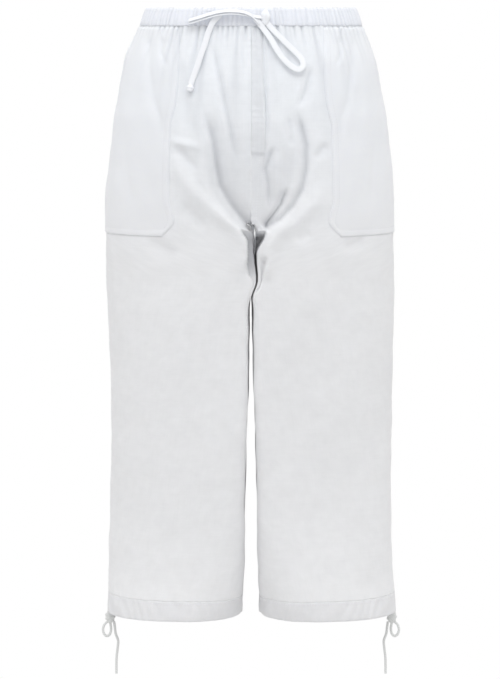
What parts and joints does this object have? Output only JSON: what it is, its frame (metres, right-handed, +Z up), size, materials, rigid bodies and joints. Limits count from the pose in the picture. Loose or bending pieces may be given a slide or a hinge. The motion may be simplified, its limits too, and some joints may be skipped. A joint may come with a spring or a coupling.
{
  "type": "cropped drawstring trousers",
  "caption": "Wide cropped pull-on trousers in white plain-weave cloth, with a gathered drawstring waist, patch pockets, a mock fly and tied hem casings, in the hollow shape they have when worn.",
  "frame": {"origin": "centre of the waist opening, in the plane of the waistband's top edge", "axes": "+Z up out of the waist opening; the front faces -Y; the wearer's left side is at +X"},
  "size_m": [0.4294, 0.2876, 0.9557],
  "materials": {
    "cloth": "matt plain weave cotton",
    "casing": "matt plain weave cotton, gathered and topstitched",
    "patch": "matt plain weave cotton, topstitched",
    "tape": "soft flat cotton tape",
    "tie": "thin cotton cord"
  },
  "bodies": {
    "root": {"front_left": "cloth", "front_right": "cloth", "back_left": "cloth", "back_right": "cloth", "waistband": "casing", "hem_left": "casing", "hem_right": "casing", "pocket_left": "patch", "pocket_right": "patch", "fly_placket": "patch", "bow_knot": "tape", "bow_loop_left": "tape", "bow_loop_right": "tape", "bow_end": "tape", "bow_end_knot": "tape", "tie_knot_left": "tie", "tie_knot_right": "tie", "tie_loop_left": "tie", "tie_loop_right": "tie", "tie_end_left": "tie", "tie_end_right": "tie"}
  },
  "joints": []
}
